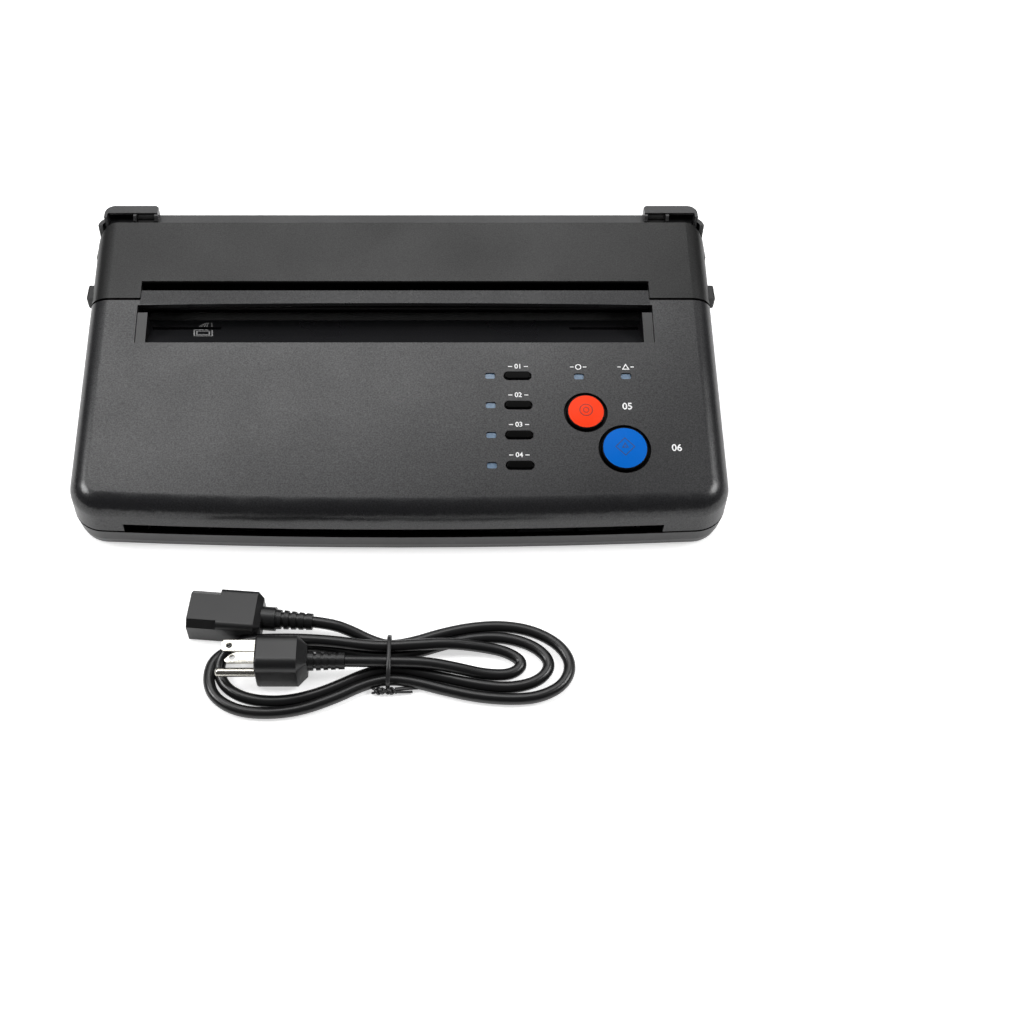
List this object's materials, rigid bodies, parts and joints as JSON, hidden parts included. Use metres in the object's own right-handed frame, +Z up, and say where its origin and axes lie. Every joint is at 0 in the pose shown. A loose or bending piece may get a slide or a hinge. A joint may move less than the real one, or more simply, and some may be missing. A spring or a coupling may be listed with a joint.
{
  "type": "thermal stencil copier",
  "caption": "Sloping desk-top thermal copier with hinged rear cover, feed recess with sliding guides, round stop and start buttons, mode keys and a folded mains lead.",
  "frame": {"origin": "on the table under the middle of the machine's box, lead left out", "axes": "+X to the operator's right, +Y to the rear, +Z up; the operator stands in front and faces +Y"},
  "size_m": [0.3682, 0.2964, 0.082],
  "materials": {
    "base_plastic": "fine-grained dark grey ABS",
    "housing_plastic": "fine-grained grey ABS",
    "bright_steel": "bright steel",
    "foot_rubber": "black rubber",
    "lamp_lens": "milky pale blue light pipe, unlit",
    "circuit_board": "green solder mask on glass-fibre board",
    "switch_plastic": "black moulded plastic",
    "lamp_body": "white chip lamp",
    "plated_sheet": "zinc-plated sheet steel",
    "bush_plastic": "oil-filled bearing plastic",
    "motor_can": "zinc-plated can",
    "guide_plastic": "black acetal",
    "sensor_glass": "clear glass",
    "supply_parts": "phenolic board with parts",
    "cable_grey": "grey flat cable",
    "inlet_plastic": "black moulded nylon",
    "pin_nickel": "nickel-plated brass",
    "lead_plastic": "black moulded PVC",
    "lead_sheath": "black PVC sheath",
    "tie_plastic": "black coated wire tie",
    "cover_plastic": "fine-grained dark grey ABS",
    "print_ceramic": "glazed ceramic",
    "sink_aluminium": "extruded aluminium",
    "latch_plastic": "black moulded plastic",
    "key_plastic": "satin black plastic",
    "red_cap": "satin orange-red plastic",
    "blue_cap": "satin blue plastic",
    "gear_plastic": "natural white acetal",
    "roller_rubber": "ground black rubber",
    "white_roller": "white silicone",
    "pinion_brass": "turned brass",
    "rocker_plastic": "black moulded plastic"
  },
  "bodies": {
    "case": {"base_tray": "base_plastic", "front_housing": "housing_plastic", "hinge_pins": "bright_steel", "rubber_feet": "foot_rubber", "case_screws": "bright_steel", "lamp_windows": "lamp_lens", "panel_board": "circuit_board", "panel_switches": "switch_plastic", "panel_lamps": "lamp_body", "pinion_keeper": "plated_sheet", "side_plate_left": "plated_sheet", "side_plate_right": "plated_sheet", "shaft_bushings": "bush_plastic", "idler_stud": "bright_steel", "motor": "motor_can", "paper_guide": "guide_plastic", "image_sensor": "switch_plastic", "sensor_glass": "sensor_glass", "electronics_tray": "plated_sheet", "power_supply": "supply_parts", "main_board": "circuit_board", "panel_cable": "cable_grey", "mains_inlet": "inlet_plastic", "inlet_pins": "pin_nickel", "switch_body": "inlet_plastic", "lead_connector": "lead_plastic", "lead_plug": "lead_plastic", "plug_blades": "pin_nickel", "lead_hank": "lead_sheath", "lead_tie": "tie_plastic"},
    "cover": {"rear_cover": "cover_plastic", "print_strip": "print_ceramic", "heat_sink": "sink_aluminium", "head_springs": "bright_steel", "head_bracket": "plated_sheet"},
    "latch_left": {"latch_left": "latch_plastic"},
    "latch_right": {"latch_right": "latch_plastic"},
    "mode_key_1": {"mode_key_1": "key_plastic"},
    "mode_key_2": {"mode_key_2": "key_plastic"},
    "mode_key_3": {"mode_key_3": "key_plastic"},
    "mode_key_4": {"mode_key_4": "key_plastic"},
    "stop_button": {"stop_button": "red_cap"},
    "copy_button": {"copy_button": "blue_cap"},
    "guide_left": {"guide_left": "guide_plastic"},
    "guide_right": {"guide_right": "guide_plastic"},
    "guide_pinion": {"guide_pinion": "gear_plastic"},
    "feed_roller": {"feed_roller": "roller_rubber", "feed_shaft": "bright_steel", "feed_gear": "gear_plastic"},
    "platen_roller": {"platen_roller": "roller_rubber", "platen_shaft": "bright_steel", "platen_gear": "gear_plastic"},
    "scan_roller": {"scan_roller": "white_roller", "scan_shaft": "bright_steel", "scan_gear": "gear_plastic"},
    "idler_gear": {"idler_gear": "gear_plastic"},
    "motor_rotor": {"motor_pinion": "pinion_brass"},
    "power_rocker": {"power_rocker": "rocker_plastic"}
  },
  "joints": [
    {"name": "cover_hinge", "type": "hinge", "parent": "case", "child": "cover", "pos_m": [0, 0.0905, 0.078], "axis": [-1, 0, 0], "range_deg": [0, 75]},
    {"name": "latch_left_press", "type": "slide", "parent": "cover", "child": "latch_left", "axis": [1, 0, 0], "range_m": [0, 0.002], "stiffness_N_per_m": 800},
    {"name": "latch_right_press", "type": "slide", "parent": "cover", "child": "latch_right", "axis": [-1, 0, 0], "range_m": [0, 0.002], "stiffness_N_per_m": 800},
    {"name": "mode_key_1_press", "type": "slide", "parent": "case", "child": "mode_key_1", "axis": [0, 0.225, -0.9744], "range_m": [0, 0.0008], "stiffness_N_per_m": 600},
    {"name": "mode_key_2_press", "type": "slide", "parent": "case", "child": "mode_key_2", "axis": [0, 0.225, -0.9744], "range_m": [0, 0.0008], "stiffness_N_per_m": 600},
    {"name": "mode_key_3_press", "type": "slide", "parent": "case", "child": "mode_key_3", "axis": [0, 0.225, -0.9744], "range_m": [0, 0.0008], "stiffness_N_per_m": 600},
    {"name": "mode_key_4_press", "type": "slide", "parent": "case", "child": "mode_key_4", "axis": [0, 0.225, -0.9744], "range_m": [0, 0.0008], "stiffness_N_per_m": 600},
    {"name": "stop_press", "type": "slide", "parent": "case", "child": "stop_button", "axis": [0, 0.225, -0.9744], "range_m": [0, 0.0012], "stiffness_N_per_m": 600},
    {"name": "copy_press", "type": "slide", "parent": "case", "child": "copy_button", "axis": [0, 0.225, -0.9744], "range_m": [0, 0.0012], "stiffness_N_per_m": 600},
    {"name": "guide_left_slide", "type": "slide", "parent": "case", "child": "guide_left", "axis": [1, 0, 0], "range_m": [0, 0.04]},
    {"name": "guide_right_slide", "type": "slide", "parent": "case", "child": "guide_right", "axis": [-1, 0, 0], "range_m": [0, 0.04]},
    {"name": "guide_pinion_turn", "type": "hinge", "parent": "case", "child": "guide_pinion", "pos_m": [-0.0032, 0.0286, 0.04611], "axis": [0, 0.4226, 0.9063], "range_deg": [0, 286.48]},
    {"name": "feed_roller_spin", "type": "hinge", "parent": "case", "child": "feed_roller", "pos_m": [0, 0.045, 0.0335], "axis": [1, 0, 0], "continuous": true},
    {"name": "platen_spin", "type": "hinge", "parent": "case", "child": "platen_roller", "pos_m": [0, 0.06604, 0.04701], "axis": [1, 0, 0], "continuous": true},
    {"name": "scan_roller_spin", "type": "hinge", "parent": "case", "child": "scan_roller", "pos_m": [0, 0.06138, 0.02203], "axis": [1, 0, 0], "continuous": true},
    {"name": "idler_spin", "type": "hinge", "parent": "case", "child": "idler_gear", "pos_m": [0, 0.02621, 0.02666], "axis": [1, 0, 0], "continuous": true},
    {"name": "motor_spin", "type": "hinge", "parent": "case", "child": "motor_rotor", "pos_m": [0, 0.00678, 0.03699], "axis": [1, 0, 0], "continuous": true},
    {"name": "power_rocker_tilt", "type": "hinge", "parent": "case", "child": "power_rocker", "pos_m": [0.066, 0.0902, 0.036], "axis": [1, 0, 0], "range_deg": [0, 16]}
  ],
  "couplings": [
    {"joint": "guide_right_slide", "follows": "guide_left_slide", "ratio": 1},
    {"joint": "guide_pinion_turn", "follows": "guide_left_slide", "rad_per_m": 125},
    {"joint": "platen_spin", "follows": "feed_roller_spin", "ratio": -0.92308},
    {"joint": "scan_roller_spin", "follows": "feed_roller_spin", "ratio": -1.5},
    {"joint": "idler_spin", "follows": "feed_roller_spin", "ratio": -1.5},
    {"joint": "motor_spin", "follows": "feed_roller_spin", "ratio": 4}
  ]
}
